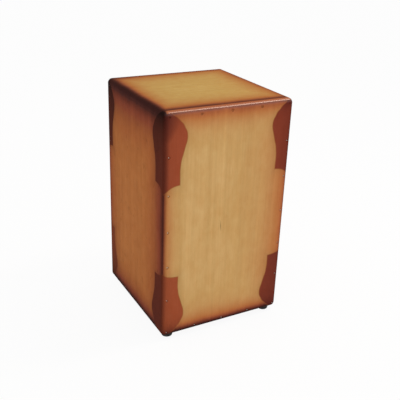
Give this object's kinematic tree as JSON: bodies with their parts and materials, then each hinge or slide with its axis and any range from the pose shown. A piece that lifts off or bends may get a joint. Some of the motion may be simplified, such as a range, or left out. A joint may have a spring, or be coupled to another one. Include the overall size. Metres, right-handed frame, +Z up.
{
  "type": "flamenco cajon",
  "caption": "Tall plywood box drum that the player sits on, with a screwed-on struck front, wound strings behind it on geared tuning machines, and a round sound hole in the back.",
  "frame": {"origin": "on the ground, under the middle of the box, with the drum standing on its feet", "axes": "+Z up; -Y out of the struck front (the tapa), so +Y is the back with the sound hole; +X to the right as the drum is seen from the front"},
  "size_m": [0.288, 0.295, 0.5],
  "materials": {
    "lacquered_ply": "gloss lacquer over a honey stain, with a dark shaded edge",
    "spruce_block": "planed, bare",
    "beech_bar": "sanded, bare",
    "rubber_foot": "moulded, dull",
    "zinc_screw": "bright zinc",
    "nickel": "nickel plated",
    "worm_steel": "turned, lightly oiled",
    "brass": "turned and cut",
    "wound_string": "bronze wound on steel",
    "ivory_button": "moulded, polished"
  },
  "bodies": {
    "box": {"left_side": "lacquered_ply", "right_side": "lacquered_ply", "seat": "lacquered_ply", "base": "lacquered_ply", "tapa": "lacquered_ply", "back_panel": "lacquered_ply", "glue_block_left_seat": "spruce_block", "glue_block_left_base": "spruce_block", "glue_block_right_seat": "spruce_block", "glue_block_right_base": "spruce_block", "string_anchor_bar": "beech_bar", "string_bridge": "beech_bar", "tuner_bar": "beech_bar", "foot_front_left": "rubber_foot", "foot_front_right": "rubber_foot", "foot_rear_left": "rubber_foot", "foot_rear_right": "rubber_foot", "tapa_screw_01": "zinc_screw", "tapa_screw_02": "zinc_screw", "tapa_screw_03": "zinc_screw", "tapa_screw_04": "zinc_screw", "tapa_screw_05": "zinc_screw", "tapa_screw_06": "zinc_screw", "tapa_screw_07": "zinc_screw", "tapa_screw_08": "zinc_screw", "tapa_screw_09": "zinc_screw", "tapa_screw_10": "zinc_screw", "tapa_screw_11": "zinc_screw", "tapa_screw_12": "zinc_screw", "tapa_screw_13": "zinc_screw", "tapa_screw_14": "zinc_screw", "tapa_screw_15": "zinc_screw", "tapa_screw_16": "zinc_screw", "tapa_screw_17": "zinc_screw", "tapa_screw_18": "zinc_screw", "tapa_screw_19": "zinc_screw", "tapa_screw_20": "zinc_screw", "foot_screw_front_left": "zinc_screw", "foot_screw_front_right": "zinc_screw", "foot_screw_rear_left": "zinc_screw", "foot_screw_rear_right": "zinc_screw", "tuner_plate_left": "nickel", "post_bush_left": "nickel", "tuner_plate_right": "nickel", "post_bush_right": "nickel", "string_bead_left": "brass", "string_bead_right": "brass", "string_left": "wound_string", "string_right": "wound_string"},
    "left_worm": {"worm_shaft_left": "worm_steel", "tuner_button_left": "ivory_button"},
    "left_post": {"string_post_left": "nickel", "post_gear_left": "brass", "gear_screw_left": "zinc_screw"},
    "right_worm": {"worm_shaft_right": "worm_steel", "tuner_button_right": "ivory_button"},
    "right_post": {"string_post_right": "nickel", "post_gear_right": "brass", "gear_screw_right": "zinc_screw"}
  },
  "joints": [
    {"name": "left_worm_turn", "type": "hinge", "parent": "box", "child": "left_worm", "pos_m": [-0.02593, -0.1061, 0.185], "axis": [0, 0, 1], "continuous": true},
    {"name": "left_post_turn", "type": "hinge", "parent": "box", "child": "left_post", "pos_m": [-0.034, -0.1061, 0.185], "axis": [0, 1, 0], "continuous": true},
    {"name": "right_worm_turn", "type": "hinge", "parent": "box", "child": "right_worm", "pos_m": [0.04207, -0.1061, 0.185], "axis": [0, 0, 1], "continuous": true},
    {"name": "right_post_turn", "type": "hinge", "parent": "box", "child": "right_post", "pos_m": [0.034, -0.1061, 0.185], "axis": [0, 1, 0], "continuous": true}
  ],
  "couplings": [
    {"joint": "left_post_turn", "follows": "left_worm_turn", "ratio": 0.071429},
    {"joint": "right_post_turn", "follows": "right_worm_turn", "ratio": 0.071429}
  ]
}
